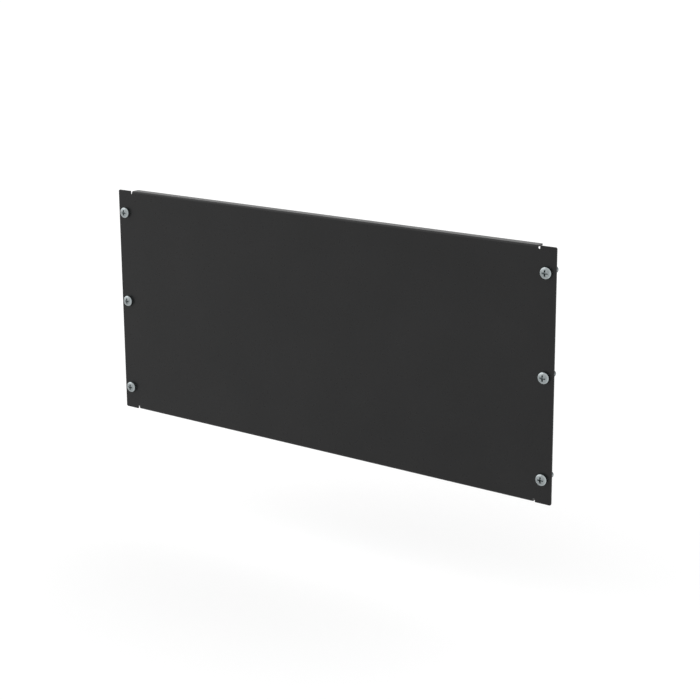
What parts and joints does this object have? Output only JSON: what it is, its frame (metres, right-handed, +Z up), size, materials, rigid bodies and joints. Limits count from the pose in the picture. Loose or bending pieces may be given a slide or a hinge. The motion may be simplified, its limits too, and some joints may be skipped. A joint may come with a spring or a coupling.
{
  "type": "rack blanking panel",
  "caption": "Flanged steel blanking panel for a nineteen inch rack, folded back along its top and bottom edges, with pan head fixing screws in its ears.",
  "frame": {"origin": "centre of the panel's flat rear face, the plane that lies on the rack's rails", "axes": "+X right seen from the front, +Y into the rack, +Z up; the front faces -Y"},
  "size_m": [0.4826, 0.0197, 0.2214],
  "materials": {
    "powder_coated_steel": "semi-gloss black powder coat",
    "zinc_plated_steel": "bright zinc plate"
  },
  "bodies": {
    "root": {"blanking_panel": "powder_coated_steel", "screw_left_bottom": "zinc_plated_steel", "screw_left_middle": "zinc_plated_steel", "screw_left_top": "zinc_plated_steel", "screw_right_bottom": "zinc_plated_steel", "screw_right_middle": "zinc_plated_steel", "screw_right_top": "zinc_plated_steel"}
  },
  "joints": []
}
